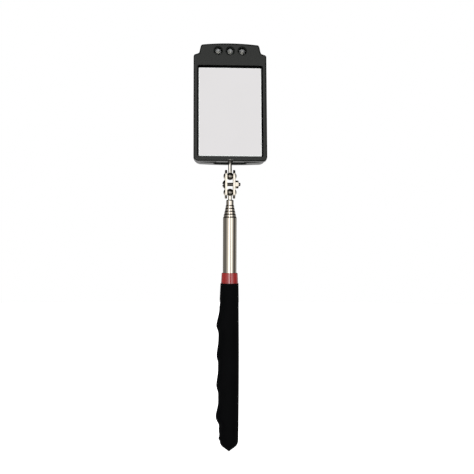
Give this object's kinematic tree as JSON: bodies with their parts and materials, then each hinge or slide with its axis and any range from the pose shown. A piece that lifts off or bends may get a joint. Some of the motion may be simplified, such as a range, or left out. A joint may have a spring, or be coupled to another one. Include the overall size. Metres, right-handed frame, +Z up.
{
  "type": "telescoping inspection mirror",
  "caption": "Hand-held inspection mirror: lamp-lit rectangular mirror head on a swivelling double ball joint, telescoping plated tube and moulded finger grip.",
  "frame": {"origin": "on the handle's axis at the middle of the grip's length, with the telescope pushed in", "axes": "+Z up the handle towards the mirror, the mirror faces -Y and leans back 8 degrees, +X to the right seen from the mirror's front"},
  "size_m": [0.0532, 0.0257, 0.297],
  "materials": {
    "grip_rubber": "matte soft moulded vinyl",
    "red_plastic": "glossy translucent red",
    "nickel_tube": "polished nickel-plated",
    "bush_bronze": "springy bronze strip",
    "stamped_steel": "nickel-plated stamping",
    "dark_steel": "oil-blackened, polished by wear",
    "black_steel": "black oxide",
    "head_plastic": "satin black moulded",
    "inner_plastic": "plain moulded",
    "nylon": "natural nylon",
    "button_rubber": "matte",
    "seal_rubber": "dull black",
    "mirror_face": "silvered glass",
    "foam": "closed-cell adhesive foam",
    "led_clear": "water-clear epoxy",
    "circuit_board": "solder mask",
    "chip": "plain",
    "cell_steel": "nickel-plated can"
  },
  "bodies": {
    "handle": {"grip": "grip_rubber", "collar": "red_plastic", "outer_tube": "nickel_tube", "end_plug": "inner_plastic"},
    "bush_1": {"friction_bush_1": "bush_bronze"},
    "section_1": {"tube_section_1": "nickel_tube"},
    "bush_2": {"friction_bush_2": "bush_bronze"},
    "section_2": {"tube_section_2": "nickel_tube"},
    "bush_3": {"friction_bush_3": "bush_bronze"},
    "section_3": {"tube_section_3": "nickel_tube"},
    "bush_4": {"friction_bush_4": "bush_bronze"},
    "section_4": {"tube_section_4": "nickel_tube"},
    "bush_5": {"friction_bush_5": "bush_bronze"},
    "section_5": {"tube_section_5": "nickel_tube", "lower_stud": "nickel_tube"},
    "lower_ball": {"lower_ball": "dark_steel"},
    "link": {"clamp_plate_left": "stamped_steel", "clamp_plate_right": "stamped_steel", "clamp_screw": "dark_steel", "clamp_nut": "stamped_steel"},
    "upper_ball": {"upper_ball": "dark_steel"},
    "upper_stud": {"upper_stud": "nickel_tube", "stud_clip": "stamped_steel"},
    "head": {"front_bezel": "head_plastic", "mirror_glass": "mirror_face", "mirror_seal": "seal_rubber", "mirror_pad": "foam", "rear_housing": "head_plastic", "battery_tray": "inner_plastic", "swivel_bush": "inner_plastic", "case_screws": "black_steel", "led_left": "led_clear", "led_centre": "led_clear", "led_right": "led_clear", "led_board": "circuit_board", "led_resistor": "chip", "coin_cell_left": "cell_steel", "coin_cell_right": "cell_steel", "battery_contact_left": "bush_bronze", "battery_contact_right": "bush_bronze", "switch_body": "inner_plastic"},
    "battery_cover": {"battery_cover": "head_plastic", "cover_contact": "bush_bronze"},
    "push_button": {"push_button": "button_rubber", "switch_plunger": "nylon"}
  },
  "joints": [
    {"name": "section_1_slide", "type": "slide", "parent": "handle", "child": "bush_1", "axis": [0, 0, 1], "range_m": [0, 0.125]},
    {"name": "section_1_turn", "type": "hinge", "parent": "bush_1", "child": "section_1", "pos_m": [0, 0, 0], "axis": [0, 0, 1], "continuous": true},
    {"name": "section_2_slide", "type": "slide", "parent": "section_1", "child": "bush_2", "axis": [0, 0, 1], "range_m": [0, 0.125]},
    {"name": "section_2_turn", "type": "hinge", "parent": "bush_2", "child": "section_2", "pos_m": [0, 0, 0], "axis": [0, 0, 1], "continuous": true},
    {"name": "section_3_slide", "type": "slide", "parent": "section_2", "child": "bush_3", "axis": [0, 0, 1], "range_m": [0, 0.125]},
    {"name": "section_3_turn", "type": "hinge", "parent": "bush_3", "child": "section_3", "pos_m": [0, 0, 0], "axis": [0, 0, 1], "continuous": true},
    {"name": "section_4_slide", "type": "slide", "parent": "section_3", "child": "bush_4", "axis": [0, 0, 1], "range_m": [0, 0.125]},
    {"name": "section_4_turn", "type": "hinge", "parent": "bush_4", "child": "section_4", "pos_m": [0, 0, 0], "axis": [0, 0, 1], "continuous": true},
    {"name": "section_5_slide", "type": "slide", "parent": "section_4", "child": "bush_5", "axis": [0, 0, 1], "range_m": [0, 0.125]},
    {"name": "section_5_turn", "type": "hinge", "parent": "bush_5", "child": "section_5", "pos_m": [0, 0, 0], "axis": [0, 0, 1], "continuous": true},
    {"name": "link_side_tilt", "type": "hinge", "parent": "section_5", "child": "lower_ball", "pos_m": [0, 0, 0.1264], "axis": [0, 1, 0], "range_deg": [-8, 8]},
    {"name": "link_fold", "type": "hinge", "parent": "lower_ball", "child": "link", "pos_m": [0, 0, 0.1264], "axis": [1, 0, 0], "range_deg": [-90, 90]},
    {"name": "head_fold", "type": "hinge", "parent": "link", "child": "upper_ball", "pos_m": [0, 0, 0.1381], "axis": [-1, 0, 0], "range_deg": [-98, 82]},
    {"name": "head_side_tilt", "type": "hinge", "parent": "upper_ball", "child": "upper_stud", "pos_m": [0, 0, 0.1381], "axis": [0, -0.9903, 0.1392], "range_deg": [-8, 8]},
    {"name": "head_turn", "type": "hinge", "parent": "upper_stud", "child": "head", "pos_m": [0, 0, 0.1381], "axis": [0, 0.1392, 0.9903], "continuous": true},
    {"name": "battery_cover_slide", "type": "slide", "parent": "head", "child": "battery_cover", "axis": [1, 0, 0], "range_m": [0, 0.049]},
    {"name": "button_press", "type": "slide", "parent": "head", "child": "push_button", "axis": [0, -0.9903, 0.1392], "range_m": [0, 0.0009], "stiffness_N_per_m": 900, "springref_m": -0.0006}
  ]
}
